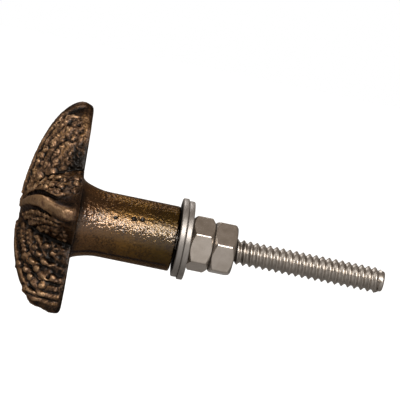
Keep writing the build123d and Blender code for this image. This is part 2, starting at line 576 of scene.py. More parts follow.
@dataclass(frozen=True)
class NickelPlate:
    """Nickel or zinc plate with a warm cast and faint tumbling marks."""

    name: str = "nickel_steel"
    plate: Colour = (0.57, 0.505, 0.445)
    worn: Colour = (0.47, 0.41, 0.35)
    # near-black painted shade, put on the washers' faces by the neck's end and on the nuts' flat faces
    painted_shade: Colour = (0.010, 0.008, 0.006)
    roughness: float = 0.2

    def build(self) -> Material:
        """Makes the material.

        Returns:
            A material for the stud, washers and nuts.
        """
        made, kit, shader = new_finish(self.name)
        grain = GrainGroup.add_to(kit, Cloud_Scale=500.0, Grit_Scale=3600.0)
        colour = kit.ramp(grain["Cloud"], ((0.25, self.worn), (0.62, self.plate)))
        # the painted-shade mask turns the plate near black and rougher
        painted_shade = kit.mask("painted_shade")
        kit.link(kit.mix(painted_shade, colour, self.painted_shade), shader.inputs["Base Color"])
        rough = kit.plus(self.roughness - 0.06, kit.times(grain["Cloud"], 0.16))
        kit.link(kit.plus(rough, kit.times(painted_shade, 0.4)), shader.inputs["Roughness"])
        shader.inputs["Metallic"].default_value = 1.0
        kit.link(kit.bump(grain["Grit"], 0.25, 0.00005), shader.inputs["Normal"])
        return made


DULL_NICKEL = NickelPlate("dull_nickel_steel", (0.42, 0.38, 0.34), (0.33, 0.295, 0.26), roughness=0.34)
DULL_ZINC = NickelPlate("dull_zinc_plate", (0.37, 0.34, 0.315), (0.29, 0.265, 0.24), roughness=0.42)


# ---- Turned pieces ----


class Closing(Enum):
    """How the first and last ring of a turned piece are closed."""

    CAPS = "caps"
    LOOP = "loop"


@dataclass
class Turned:
    """A piece built ring by ring around the stud's axis."""

    name: str
    rings: list[RingShape]
    closing: Closing
    count: int = 96
    centre: tuple[float, float] = (0.0, 0.0)
    tilt: float = 0.0

    def place(self, points: Sequence[bmesh.types.BMVert], ring: RingShape) -> None:
        """Moves one ring's points to their place.

        Args:
            points: The ring's points, in order round the axis.
            ring: Gives radius and position along the axis, in mm, at an angle.
        """
        lean = math.radians(self.tilt)
        for number, point in enumerate(points):
            turn = 2 * math.pi * number / self.count
            radius, along = ring(turn)
            up = radius * math.cos(turn)
            behind = self.centre[0] + along * math.cos(lean) - up * math.sin(lean)
            above = self.centre[1] + along * math.sin(lean) + up * math.cos(lean)
            point.co = Vector((radius * math.sin(turn), behind, above)) * MM

    def build(self) -> Piece:
        """Starts from a circle, extrudes it ring by ring and closes it.

        Returns:
            The finished mesh object.
        """
        piece = circle(self.name, self.count)
        with editing(piece):
            for number, ring in enumerate(self.rings):
                if number:
                    bpy.ops.mesh.extrude_edges_move()
                mesh = bmesh.from_edit_mesh(piece.data)
                mesh.verts.ensure_lookup_table()
                self.place(list(mesh.verts)[-self.count:], ring)
            self.close(mesh)
            bmesh.update_edit_mesh(piece.data)
        face_outwards(piece)
        return piece

    def close(self, mesh: bmesh.types.BMesh) -> None:
        """Fills both ends, or joins the last ring to the first.

        Args:
            mesh: The edit mesh of the piece.
        """
        for edge in mesh.edges:
            edge.select = False
        for edge in [edge for edge in mesh.edges if len(edge.link_faces) == 1]:
            edge.select = True
        mesh.select_flush(True)
        if self.closing is Closing.LOOP:
            bpy.ops.mesh.bridge_edge_loops()
        else:
            bpy.ops.mesh.edge_face_add()


def plain(radius: float, along: float) -> RingShape:
    """Returns a round ring of a radius at a place along the axis, in mm."""
    return lambda turn: (radius, along)


def rounded(radius: float, along: float, size: float, quarter: int, steps: int = 4) -> list[RingShape]:
    """Returns the rings of one rounded rim.

    Args:
        radius: Outer radius in mm.
        along: Position of the face that the rounding starts from, in mm.
        size: Radius of the rounding in mm.
        quarter: 1 from the near face out to the rim, -1 from the rim to the far face.
        steps: Number of rings less one.

    Returns:
        The rings, in building order.
    """
    rings = []
    for number in range(steps + 1):
        angle = math.pi / 2 * number / steps
        out, back = (math.sin(angle), math.cos(angle))[::quarter]
        rings.append(plain(radius - size + size * out, along + quarter * (size - size * back)))
    return rings


@dataclass
class Washer:
    """A plain round washer with softened rims, leaning a little on the stud."""

    node: str
    finish: Material
    across: float = 14.7
    thickness: float = 1.12
    tilt: float = 1.6
    bore: float = 5.26
    rim: float = 0.22
    # radius within which the washer's near face is painted dark: painted shade of the gap by the neck's end
    # and a painted reflection of the dark neck
    painted_shade: float = 5.95

    def build(self) -> None:
        """Builds the washer in its node's place."""
        low, high = solid_box(self.node)
        centre = ((low[1] + high[1]) / 2, (low[2] + high[2]) / 2)
        near, far = -self.thickness / 2, self.thickness / 2
        radius, bore = self.across / 2, self.bore / 2
        rings = [plain(bore, far), plain(bore, near), plain(self.painted_shade, near)]
        rings += rounded(radius, near, self.rim, 1) + rounded(radius, far, self.rim, -1)
        piece = Turned(self.node + "_ring", rings, Closing.LOOP, 128, centre, self.tilt).build()
        places = points_of(piece)
        lean = math.radians(self.tilt)
        behind, above = places[:, 1] - centre[0], places[:, 2] - centre[1]
        along = behind * math.cos(lean) + above * math.sin(lean)
        reach = np.hypot(places[:, 0], above * math.cos(lean) - behind * math.sin(lean))
        # painted shade and painted reflection on the near face inside that radius
        write_mask(piece, "painted_shade", (along < near + 0.01) & (reach < self.painted_shade + 0.01))
        smooth(piece, 35)
        finish_piece(piece, self.finish, self.node)


@dataclass
class Nut:
    """A hexagon nut with rounded corners, turned down on both faces."""

    node: str
    finish: Material
    turn: float
    flats: float = 9.15
    corner: float = 0.5
    face: float = 8.7
    drop: float = 0.8
    bore: float = 3.75
    mouth: float = 0.35
    soft: float = 0.05
    half_sector: float = math.radians(30)

    def radius_at(self, turn: float) -> float:
        """Returns the rounded hexagon's radius at an angle.

        Args:
            turn: Angle round the axis, in radians.

        Returns:
            The radius in mm.
        """
        half = self.half_sector
        local = (turn - math.radians(self.turn)) % (2 * half)
        off = min(local, 2 * half - local)
        flat = self.flats / 2
        # off is measured from a corner; the corner is an arc of the given radius
        centre = (flat / math.cos(half)) - self.corner / math.cos(half)
        reach = centre * math.cos(off) + math.sqrt(max(self.corner ** 2 - (centre * math.sin(off)) ** 2, 0.0))
        straight = flat / math.cos(half - off)
        switch = math.atan2(self.corner * math.sin(half), centre + self.corner * math.cos(half))
        return reach if off < switch else straight

    def edge(self, base: float, sign: float, inset: float, soft: float) -> RingShape:
        """Returns a ring by the line where the turned-down corner meets the flats.

        Args:
            base: Position of the nut's face, in mm.
            sign: 1 at the near face, -1 at the far one.
            inset: How far inside the line it lies.
            soft: How far past the line along the axis.

        Returns:
            The ring.
        """
        face = self.face / 2
        slope = self.drop / (self.flats / 2 / math.cos(self.half_sector) - face)

        def ring(turn: float) -> tuple[float, float]:
            """Returns radius and position of the ring at one angle."""
            radius = self.radius_at(turn) - inset
            return radius, base + sign * (max(radius - face, 0.0) * slope + soft)

        return ring

    def build(self) -> None:
        """Builds the nut in its node's place."""
        low, high = solid_box(self.node)
        near, far = low[1], high[1]
        bore, face = self.bore / 2, self.face / 2
        rings = [plain(bore, (near + far) / 2)]
        sides = []
        for base, sign in ((near, 1), (far, -1)):
            sides.append([
                plain(bore, base + sign * self.mouth),
                plain(bore + self.mouth, base),
                plain(face - 0.06, base),
                self.edge(base, sign, self.soft, 0.0),
                self.edge(base, sign, 0.0, self.soft),
            ])
        rings += sides[0] + sides[1][::-1]
        piece = Turned(self.node + "_hexagon", rings, Closing.LOOP, count=180).build()
        places = points_of(piece)
        # painted shade on both flat faces of the nut, 0.85 strong
        write_mask(piece, "painted_shade", 0.85 * (np.hypot(places[:, 0], places[:, 2]) < face - 0.03))
        smooth(piece, 28)
        finish_piece(piece, self.finish, self.node)


@dataclass
class Stud:
    """The threaded stud: a helical thread on the free end, a plain core inside."""

    finish: Material
    node: str = "stud"
    pitch: float = 1.25
    crest: float = 2.38
    root: float = 1.875
    tip: float = 1.95
    tip_length: float = 1.1
    bevel: float = 0.25
    core_limit: float = 1.2
    start: float = -0.3
    steps: int = 48

    def profile(self) -> list[tuple[float, float]]:
        """Returns one pitch of the thread, root to root, as radius and share of the pitch."""
        root, crest = self.root, self.crest
        rise = [(root, 0.0), (root + 0.02, 0.10), (crest - 0.07, 0.40), (crest - 0.005, 0.45)]
        return rise + [(crest - 0.005, 0.55), (crest - 0.07, 0.60), (root + 0.02, 0.90), (root, 1.0)]

    def wind(self, turns: int) -> Piece:
        """Winds the thread's profile round the axis.

        Args:
            turns: Number of turns.

        Returns:
            The wound thread, with open ends.
        """
        shape = self.profile()
        piece = circle("stud_thread", len(shape))
        with editing(piece):
            mesh = bmesh.from_edit_mesh(piece.data)
            mesh.verts.ensure_lookup_table()
            closing = mesh.edges.get((mesh.verts[0], mesh.verts[-1]))
            for edge in mesh.edges:
                edge.select = edge == closing
            mesh.select_flush(False)
            bpy.ops.mesh.delete(type="EDGE_FACE")
            mesh = bmesh.from_edit_mesh(piece.data)
            mesh.verts.ensure_lookup_table()
            for point, (radius, share) in zip(mesh.verts, shape):
                point.co = Vector((0, self.start + (share - 2) * self.pitch, radius)) * MM
            bmesh.update_edit_mesh(piece.data)
        modify(
            piece, "winding", "SCREW", axis="Y", angle=2 * math.pi, screw_offset=self.pitch * MM,
            iterations=turns, steps=self.steps, render_steps=self.steps,
            use_merge_vertices=True, merge_threshold=1e-6,
        )
        apply_all(piece)
        face_outwards(piece, 1e-6)
        return piece

    def build(self) -> None:
        """Winds the thread, trims and closes it, and joins the core."""
        low, high = solid_box(self.node)
        near, far, start = low[1], high[1], self.start
        piece = self.wind(math.ceil((far - start) / self.pitch) + 3)
        self.trim(piece, start, False)
        self.trim(piece, far, True)
        places = points_of(piece)
        reach = np.hypot(places[:, 0], places[:, 2])
        stops = [far - self.tip_length, far - self.tip_length * 0.55, far - self.bevel, far]
        limit = np.interp(places[:, 1], stops, [self.crest, self.tip, self.tip, self.tip - self.bevel])
        share = limit / np.maximum(reach, 1e-6)
        share = np.where((places[:, 1] < far - 0.9) | (reach < self.core_limit), np.minimum(1.0, share), share)
        places[:, 0] *= share
        places[:, 2] *= share
        set_points(piece, places)
        face_outwards(piece)
        smooth(piece, 40)
        core = self.root
        rings = [plain(core - 0.2, near), plain(core, near + 0.2)]
        rings += [plain(core, start - 0.05), plain(core - 0.3, start + 0.1)]
        inner = Turned("stud_core", rings, Closing.CAPS, count=48).build()
        smooth(inner, 35)
        only(piece, inner)
        bpy.ops.object.join()
        finish_piece(piece, self.finish, self.node)

    def trim(self, piece: Piece, along: float, beyond: bool) -> None:
        """Cuts the winding square across the axis and closes the cut.

        Args:
            piece: The wound thread.
            along: Position of the cut in mm.
            beyond: True to drop what lies past the cut, False what lies before it.
        """
        with editing(piece):
            bpy.ops.mesh.bisect(
                plane_co=(0, along * MM, 0), plane_no=(0, 1, 0), use_fill=True,
                clear_outer=beyond, clear_inner=not beyond, threshold=1e-7,
            )


# ---- The casting ----


class Flank(Enum):
    """What covers one side of an arm."""

    LUMPS = "lumps"
    SCALES = "scales"
    TEETH = "teeth"
    BEADS = "beads"


@dataclass(frozen=True)
class Knob:
    """One bump or dent of the relief."""

    place: Vector
    radius: float
    height: float


@dataclass(frozen=True)
class Row:
    """One row of beads, scales or teeth beside a rib, in mm."""

    aside: float
    slope: float
    start: float
    end: float
    pitch: float
    radius: float
    height: float
    spread: float = 0.0
    stretch: float = 0.0

    def middle(self, along: float) -> float:
        """Returns the row's distance from the rib at a place along the arm."""
        return self.aside + self.slope * (along - 12.0)


@dataclass(frozen=True)
class Line:
    """One raised or sunk line of the relief, in mm along and beside an arm."""

    start: tuple[float, float]
    end: tuple[float, float]
    width: float
    height: float

    def near(self, along: Array, aside: Array) -> Array:
        """Returns how near each place lies to the line.

        Args:
            along: Distances along the arm.
            aside: Distances from its rib.

        Returns:
            One on the line, falling to zero beside it.
        """
        run = (self.end[0] - self.start[0], self.end[1] - self.start[1])
        past, beside = along - self.start[0], aside - self.start[1]
        share = np.clip((past * run[0] + beside * run[1]) / (run[0] ** 2 + run[1] ** 2), 0, 1)
        gap = np.hypot(past - share * run[0], beside - share * run[1])
        return bell(gap / self.width)


ROWS = {
    Flank.LUMPS: (),
    Flank.BEADS: (
        Row(1.35, 0.34, 13.4, 17.8, 1.55, 0.74, 0.42),
        Row(3.25, 0.30, 12.2, 16.8, 1.60, 0.82, 0.42),
        Row(4.65, 0.24, 9.6, 15.4, 1.58, 0.78, 0.42),
        Row(5.85, 0.20, 9.8, 13.6, 1.50, 0.68, 0.40),
        Row(1.75, 0.12, 4.5, 10.0, 0.85, 0.42, 0.22, 0.12),
        Row(2.75, 0.10, 5.4, 9.8, 0.95, 0.45, 0.24, 0.12),
        Row(3.75, 0.10, 6.6, 8.8, 1.00, 0.45, 0.24, 0.10),
    ),
    Flank.SCALES: (
        Row(2.70, 0.04, 4.6, 19.8, 1.45, 0.74, 0.48, 0.34, 1.2),
        Row(4.35, 0.05, 6.8, 18.4, 1.45, 0.74, 0.46, 0.34, 1.2),
        Row(5.90, 0.05, 8.8, 15.0, 1.45, 0.66, 0.34, 0.26, 1.2),
    ),
    Flank.TEETH: (
        Row(2.10, 0.05, 3.8, 17.5, 0.88, 0.44, 0.30, 0.10),
        Row(3.10, 0.09, 5.4, 17.0, 0.92, 0.46, 0.32, 0.12),
        Row(4.20, 0.13, 7.0, 16.4, 1.02, 0.50, 0.36, 0.14),
        Row(5.35, 0.15, 8.8, 15.0, 1.12, 0.54, 0.36, 0.14),
        Row(6.50, 0.15, 10.4, 13.2, 1.10, 0.46, 0.26, 0.10),
    ),
}
LINES = (
    Line((9.0, 3.10), (15.6, 5.00), 0.24, -0.36),
    Line((8.4, 4.40), (14.0, 5.65), 0.24, -0.36),
    Line((12.0, 2.35), (17.0, 4.00), 0.24, -0.36),
    Line((11.7, 0.95), (10.9, 2.20), 0.42, 0.42),
    Line((10.9, 2.20), (10.6, 3.40), 0.40, 0.40),
    Line((12.5, 0.90), (11.7, 2.60), 0.20, -0.22),
    Line((15.6, 0.60), (17.8, 3.00), 0.22, -0.24),
    Line((16.5, 0.40), (18.4, 2.60), 0.36, 0.38),
    Line((17.1, 0.30), (18.9, 2.20), 0.17, -0.24),
    Line((17.7, 0.20), (19.3, 1.80), 0.34, 0.28),
)
NECK_PITS = (
    Knob(Vector((5.44, -19.56, 2.77)), 0.5, -0.3),
    Knob(Vector((5.38, -18.08, 2.88)), 0.45, -0.3),
    Knob(Vector((5.67, -23.03, 2.26)), 0.35, -0.3),
)


@dataclass
class Casting:
    """The starfish head and neck, with the fine relief of the real casting."""

    finish: Material
    node: str = "starfish_casting"
    voxel: float = 0.18
    keep: float = 0.64
    back: float = -30.06
    lean: float = math.radians(1.8)
    reach: float = 21.4
    leg_reach: float = 20.2
    droop: float = 11.0
    half_width: float = 6.9
    taper_start: float = 9.7
    web: float = 0.9
    rib_start: float = 3.0
    rib_half: tuple[float, float] = (0.35, 1.5)
    inner_row: float = 1.9
    cap: float = 2.6
    border: float = 3.4
    neck_radius: float = 8.6
    ray_start: float = 30.0
    front_margin: float = 0.9
    corner_rounds: int = 40
    height_rounds: int = 24
    height_span: float = 0.38
    tries: int = 6000
    dents: int = 8
    lump_row: float = 1.12
    big_noise: float = 0.45
    rough_noise: float = 0.8
    fine_noise: float = 2.9
    row_seed: int = 11
    border_seed: int = 5
    knobs: list[Knob] = field(default_factory=list)
    piece: Piece | None = None

    def build(self) -> None:
        """Copies the solid, makes it dense and carves its relief."""
        only(frame["nodes"][self.node])
        bpy.ops.object.duplicate(linked=False)
        self.piece = piece = rename("starfish_body")
        face_outwards(piece, 1e-6)
        modify(piece, "dense", "REMESH", mode="VOXEL", voxel_size=self.voxel * MM, use_smooth_shade=True)
        modify(piece, "soft", "SMOOTH", factor=0.5, iterations=6)
        apply_all(piece)
        self.carve()
        self.thin()
        smooth(piece, 180)
        finish_piece(piece, self.finish, self.node)

    def thin(self) -> None:
        """Takes triangles out where the surface is calm, and keeps only the outer skin."""
        piece = self.piece
        modify(piece, "fewer", "DECIMATE", ratio=self.keep)
        apply_all(piece)
        piece.data.validate()
        with editing(piece):
            bpy.ops.mesh.select_mode(type="VERT")
            bpy.ops.mesh.select_all(action="DESELECT")
        piece.data.vertices[int(points_of(piece)[:, 2].argmax())].select = True
        bpy.ops.object.mode_set(mode="EDIT")
        bpy.ops.mesh.select_linked()
        bpy.ops.mesh.select_all(action="INVERT")
        bpy.ops.mesh.delete(type="VERT")
        bpy.ops.object.mode_set(mode="OBJECT")
        set_points(piece, np.clip(points_of(piece), *solid_box(self.node)))

    def flank(self, arm: int, side: int) -> Flank:
        """Says what covers one side of an arm.

        Args:
            arm: Number of the arm, clockwise from the top.
            side: 1 for the clockwise side, -1 for the other.

        Returns:
            The kind of cover.
        """
        if arm == 0:
            return Flank.LUMPS
        if arm in (2, 3):
            return Flank.BEADS
        return Flank.SCALES if side == (-1 if arm == 1 else 1) else Flank.TEETH

    def valley(self, aside: float) -> float:
        """Returns how far along an arm its neighbour's border lies."""
        half = math.radians(ARM_STEP / 2)
        return (self.web + aside * math.cos(half)) / math.sin(half)

    def outside(self, arm: int, along: float, aside: float) -> tuple[float, float]:
        """Turns a place on an arm into one in the head's plane.

        Args:
            arm: Number of the arm, clockwise from the top.
            along: Distance from the middle along the arm, in mm.
            aside: Distance from the arm's rib, in mm.

        Returns:
            The place across and up, in mm.
        """
        droop = {1: self.droop, 4: -self.droop}.get(arm, 0.0) * (along / self.reach) ** 3
        turn = math.radians(arm * ARM_STEP + droop)
        across = along * math.sin(turn) + aside * math.cos(turn)
        return across, along * math.cos(turn) - aside * math.sin(turn)

    def add_knob(self, spot: tuple[int, float, float], radius: float, height: float) -> None:
        """Puts one bump or dent on the list, if its spot falls on the head's front.

        Args:
            spot: Arm, distance along it and distance from its rib.
            radius: Radius in mm.
            height: Height in mm, negative for a dent.
        """
        across, up = self.outside(*spot)
        ahead = Vector((0, -math.cos(self.lean), -math.sin(self.lean)))
        rise = Vector((0, -math.sin(self.lean), math.cos(self.lean)))
        start = Vector((across, self.back, 0)) + rise * up + ahead * self.ray_start
        hit, place, _, _ = self.piece.ray_cast(start * MM, -ahead)
        if hit and (place / MM).y < self.back - self.front_margin:
            self.knobs.append(Knob(place / MM, radius, height))

    def lay_out(self) -> None:
        """Lays out the rows of the arms, the top arm's lumps and the dents by the borders."""
        chance = random.Random(self.row_seed)
        for arm in range(ARMS):
            for side in (-1, 1):
                self.string_rows(arm, side, chance)
                if self.flank(arm, side) is Flank.LUMPS:
                    self.strew_lumps(arm, side, chance)
                for _ in range(self.dents):
                    along = chance.uniform(9.0, 17.5)
                    past = max(along - self.taper_start, 0.0) / 12
                    aside = self.half_width * (1 - past ** 1.1) ** 0.55
                    spot = (arm, along, side * (aside - chance.uniform(0.25, 0.8)))
                    self.add_knob(spot, chance.uniform(0.28, 0.5), -chance.uniform(0.15, 0.35))

    def string_rows(self, arm: int, side: int, chance: random.Random) -> None:
        """Strings beads, scales or teeth along one side of an arm.

        Args:
            arm: Number of the arm.
            side: Which side of it.
            chance: Source of the small differences.
        """
        for number, row in enumerate(ROWS[self.flank(arm, side)]):
            along = row.start + 0.5 * row.pitch * (number % 2) * (row.spread > 0)
            while along < row.end:
                size, tall = chance.uniform(0.88, 1.1), chance.uniform(0.75, 1.1)
                aside = row.middle(along) + chance.uniform(-0.06, 0.06)
                longer = row.stretch * float(ease(along, 15.5, -7))
                if along > self.valley(aside) - 0.3:
                    steps = max(2, round(1 + longer * 1.4)) if row.spread else 1
                    for step in range(steps):
                        way = 2 * step / (steps - 1) - 1 if steps > 1 else 0
                        ahead = way * (0.5 * row.spread + 0.32 * row.pitch * longer)
                        spot = (arm, along + ahead, side * (aside + way * row.spread))
                        self.add_knob(spot, row.radius * size, row.height * tall)
                along += row.pitch * (1 + longer) * chance.uniform(0.92, 1.08)

    def strew_lumps(self, arm: int, side: int, chance: random.Random) -> None:
        """Strews uneven lumps over one side of the top arm.

        Args:
            arm: Number of the arm.
            side: Which side of it.
            chance: Source of the places and sizes.
        """
        along = 4.0
        while along < self.reach - 3.4:
            aside = 1.3 + chance.uniform(0.0, 0.7)
            while aside < self.half_width + 0.1:
                if along > self.valley(aside) - 0.4:
                    ahead, off = chance.uniform(-0.45, 0.45), chance.uniform(-0.3, 0.3)
                    radius = chance.uniform(0.45, 0.9)
                    height = radius * chance.uniform(0.15, 0.42)
                    self.add_knob((arm, along + ahead, side * (aside + off)), radius, height)
                aside += chance.uniform(0.95, 1.35)
            along += self.lump_row

    def sprinkle(self, points: Array, level: Array, along: Array, apart: float = 1.25) -> None:
        """Scatters small lumps and pits over the steep borders of the arms.

        Args:
            points: Places in mm.
            level: Their heights over the back.
            along: Their distances along the arm.
            apart: Least distance between two of them, in mm.
        """
        chance = random.Random(self.border_seed)
        beside = (level > 0.7) & (level < self.border) & (along > 6.5) & (along < self.reach - 2.8)
        steep = np.flatnonzero(beside).tolist()
        near = (-1, 0, 1)
        taken: dict[tuple[int, int, int], Vector] = {}
        for number in chance.sample(steep, min(len(steep), self.tries)):
            place = Vector(points[number])
            i, j, k = (math.floor(value / apart) for value in place)
            around = [(i + a, j + b, k + c) for a in near for b in near for c in near]
            if any(spot in taken and (taken[spot] - place).length < apart for spot in around):
                continue
            taken[(i, j, k)] = place
            height = chance.uniform(0.08, 0.18) if chance.random() < 0.6 else -chance.uniform(0.12, 0.3)
            self.knobs.append(Knob(place, chance.uniform(0.36, 0.6), height))

    def carve(self) -> None:
        """Moves the points along their normals and stores the masks."""
        piece = self.piece
        self.lay_out()
        self.knobs.extend(NECK_PITS)
        edges = table(piece.data.edges, "vertices", 2, np.int32)
        points = points_of(piece)
        level, along = self.places(points)[:2]
        tips = ease(along, 17.2, 1.5) * ease(level, 1.7, -0.7)
        set_points(piece, self.soften(points, edges, self.corner_rounds, tips))
        points = points_of(piece)
        level, along, _, arm = self.places(points)[:4]
        self.sprinkle(points, np.where((arm == 1) | (arm == 4), 0.0, level), along)
        normals = normals_of(piece)
        lift, neck, shade, greying = self.relief(points)
        carved = np.clip(points + normals * lift[:, None], *solid_box(self.node))
        set_points(piece, carved)
        height = ((carved - self.soften(carved, edges, self.height_rounds)) * normals_of(piece)).sum(axis=1)
        rim = ease(self.places(carved)[0], 1.2, -0.5) * (1 - neck)
        height = np.minimum(height, 0.3 - 0.3 * rim)
        # the height mask carries the painted shade in the valleys and the painted highlight on the side arms'
        # ribs
        write_mask(piece, "height", np.clip(0.5 + height / self.height_span - shade, 0.0, 1.0))
        write_mask(piece, "neck", neck)
        # greying: darker on the lower arms than on the side arms, least on the top arm
        write_mask(piece, "greying", greying)

    def soften(self, points: Array, edges: Array, rounds: int, share: Array | None = None) -> Array:
        """Moves each point towards the mean of its neighbours, again and again.

        Args:
            points: Places in mm.
            edges: Pairs of point numbers.
            rounds: How often.
            share: How much each point moves, from 0 to 1; all move fully if None.

        Returns:
            The softened places.
        """
        one, two = edges[:, 0], edges[:, 1]
        total = len(points)
        count = np.bincount(one, minlength=total) + np.bincount(two, minlength=total)
        weight = (np.ones(total) if share is None else share)[:, None]
        soft = points.copy()
        for _ in range(rounds):
            sums = [
                np.bincount(one, soft[two, axis], total) + np.bincount(two, soft[one, axis], total)
                for axis in range(3)
            ]
            mean = np.stack(sums, axis=1) / np.maximum(count, 1)[:, None]
            soft = soft + (mean - soft) * weight
        return soft

    def places(self, points: Array) -> tuple[Array, ...]:
        """Finds where points lie on the head.

        Args:
            points: Places in mm.

        Returns:
            Height over the back, distance along the arm, distance from its rib,
            the arm's number, the side of it and the distance from the valley.
        """
        behind = points[:, 1] - self.back
        up = points[:, 2] * math.cos(self.lean) - behind * math.sin(self.lean)
        level = -(behind * math.cos(self.lean) + points[:, 2] * math.sin(self.lean))
        radius = np.hypot(points[:, 0], up)
        angle = np.degrees(np.arctan2(points[:, 0], up)) % 360
        arm = np.round(angle / ARM_STEP).astype(int) % ARMS
        bend = np.select([arm == 1, arm == 4], [self.droop, -self.droop], 0.0)
        straight = (angle - arm * ARM_STEP + 180) % 360 - 180
        off = np.radians(straight - bend * (radius / self.reach) ** 3)
        beside = radius * np.sin(off)
        gap = radius * np.sin(np.radians(ARM_STEP / 2 - np.abs(straight)))
        return level, radius * np.cos(off), np.abs(beside), arm, np.sign(beside), gap

    def press_knobs(self, points: Array) -> Array:
        """Works out the lift of every bead, lump and pit.

        Args:
            points: Places in mm.

        Returns:
            The lift at each point in mm.
        """
        tree = KDTree(len(points))
        for number, point in enumerate(points):
            tree.insert(point, number)
        tree.balance()
        raised, moat, sunk = np.zeros((3, len(points)))
        for knob in self.knobs:
            for _, number, gap in tree.find_range(knob.place, 1.6 * knob.radius):
                dome = max(0.0, 1 - (gap / knob.radius) ** 2) ** 0.85
                if knob.height < 0:
                    sunk[number] = min(sunk[number], knob.height * dome)
                    continue
                raised[number] = max(raised[number], knob.height * dome)
                ring = math.exp(-(((gap / knob.radius - 1.15) / 0.2) ** 2))
                moat[number] = max(moat[number], ring * knob.height)
        return raised - 0.35 * moat * (raised < 0.02) + sunk

    def relief(self, points: Array) -> tuple[Array, Array, Array, Array]:
        """Works out the carving at every point.

        Args:
            points: Places in mm.

        Returns:
            The lift along the normal in mm, the mask of the neck, that of the painted
            shade, painted highlight and darker tone, and that of the greying.
        """
        level, along, aside, arm, side, gap = self.places(points)
        kinds = {kind: np.zeros(len(points), dtype=bool) for kind in Flank}
        for number in range(ARMS):
            for way in (-1, 1):
                kinds[self.flank(number, way)] |= (arm == number) & (side == way)
        lumps, scales, teeth, beads = (kinds[kind] for kind in Flank)
        big = np.array([noise.noise(Vector(p) * self.big_noise) for p in points])
        rough = np.array([noise.fractal(Vector(p) * self.rough_noise, 1.0, 2.0, 3) for p in points])
        fine = np.array([noise.noise(Vector(p) * self.fine_noise) for p in points])

        # regions: the front, the caps at the tips, the neck, the ribs, valleys and borders
        reach = np.where((arm == 2) | (arm == 3), self.leg_reach, self.reach)
        front = ease(level, 0.3, 0.9)
        cap = ease(along, reach - self.cap, 0.8)
        neck = ease(level, 0.15, -0.4) * (np.hypot(points[:, 0], points[:, 2]) < self.neck_radius)
        share = ease(along, self.rib_start, self.reach - self.rib_start)
        rib = self.rib_half[0] + share * (self.rib_half[1] - self.rib_half[0])
        begun = ease(along, 3, 1.5)
        on_rib = np.clip(1 - (aside / rib) ** 2, 0, 1) * begun
        valley = bell(gap / 0.4) * ease(along, 3, 3) * (1 - neck)
        border = ease(level, self.border, -1.6) * (1 - neck)

        # lift: knobs, the grooves beside the ribs, lines, roughness, ribs and valleys
        width = np.maximum(0.3, (self.inner_row - rib) / 2.4)
        groove = bell((aside - (rib + self.inner_row) / 2) / width)
        groove *= begun * ease(along, reach - 1.8, -2)
        depth = np.select([scales, teeth, beads], [0.42, 0.16, 0.20], 0.16)
        uneven = np.where(beads, 1.0, np.clip(0.85 + 1.1 * fine + 0.5 * rough, 0.3, 1.3))
        lift = self.press_knobs(points) * uneven - depth * groove * front
        for line in LINES:
            lift += beads * front * line.height * line.near(along, aside + 0.25 * big) * (0.8 + 0.6 * rough)
        calm = (1 - 0.8 * cap) * (1 - 0.6 * on_rib)
        amount = np.where(lumps, 0.16, 0.10)
        lift += front * calm * (amount * rough + np.where(lumps, 0.09, 0.05) * fine)
        lift += front * np.where(scales | teeth, 0.18, 0.06) * on_rib
        lift -= 0.16 * valley * front

        # shade: painted shade in the valleys between the arms; darker tone at the tips of the top and side
        # arms, on the other ribs, the scales and the back borders; a painted highlight along the side arms'
        # ribs
        shade = np.where(beads, -0.06, 0.22) * cap * front + 0.3 * valley
        shade += np.where(scales | teeth, 0.0, 0.25) * on_rib + 0.07 * scales
        shade += 0.7 * border * lumps * ease(along, 15.0, -3) * np.clip(0.8 + big, 0, 1)
        shade += 0.22 * border * beads
        # painted highlight, with rubbed wear, along the side arms' ribs: it lightens the colour and clears the
        # greying
        bright = (scales | teeth) * np.clip(1.5 * on_rib, 0, 1) * ease(along, 9, 4)
        shade -= bright * np.clip(0.42 + 0.5 * rough + 0.4 * big, 0.0, 0.8)

        # greying: strong on the lower arms' beads, less towards their tips; also on the borders and the other
        # arms' tips; gone on the side arms' ribs
        greying = np.select([beads, teeth, scales], [0.78, 0.62, 0.42], 0.12) * (1 - bright)
        ends = ease(along, 13, 3)
        dull = np.maximum(np.where(beads, 0.3, 0.8) * cap, np.where(beads, 1.0 - 0.7 * ends, 0.6) * border)
        greying = np.maximum(np.where(beads, 1.0 - 0.6 * ends, 1.0) * greying, dull)
        return lift + neck * 0.012 * fine, neck, shade, np.clip(greying + 0.35 * big, 0, 1)


# ---- Setting ----


@dataclass(frozen=True)
class Lamp:
    """One soft rectangular lamp; its place, aim and size are in metres, its power in watts."""

    name: str
    place: Place
    aim: Place
    size: tuple[float, float]
    power: float
    tint: Colour

    def add(self) -> None:
        """Adds the lamp to the scene."""
        deselect()
        bpy.ops.object.light_add(type="AREA", location=self.place)
        made = bpy.context.object
        made.name = self.name
        made.data.shape = "RECTANGLE"
        made.data.size, made.data.size_y = self.size
        made.data.energy = self.power
        made.data.color = self.tint
        made.rotation_mode = "QUATERNION"
        made.rotation_quaternion = (Vector(self.aim) - Vector(self.place)).to_track_quat("-Z", "Y")


LAMPS = (
    Lamp("key", (0.69, 0.06, 0.35), (0, -0.01, 0), (0.54, 0.22), 4.9, (1.0, 0.985, 0.96)),
    Lamp("side", (0.15, -0.72, 0.42), (0, -0.03, 0), (0.4, 0.4), 1.2, (1.0, 0.99, 0.97)),
    Lamp("high", (0.50, 0.04, 0.59), (0, -0.01, 0), (0.50, 0.18), 0.8, (1.0, 0.985, 0.96)),
    Lamp("back", (-0.5, -0.2, 0.6), (0, 0, 0), (0.4, 0.4), 1.6, (1.0, 1.0, 1.0)),
)


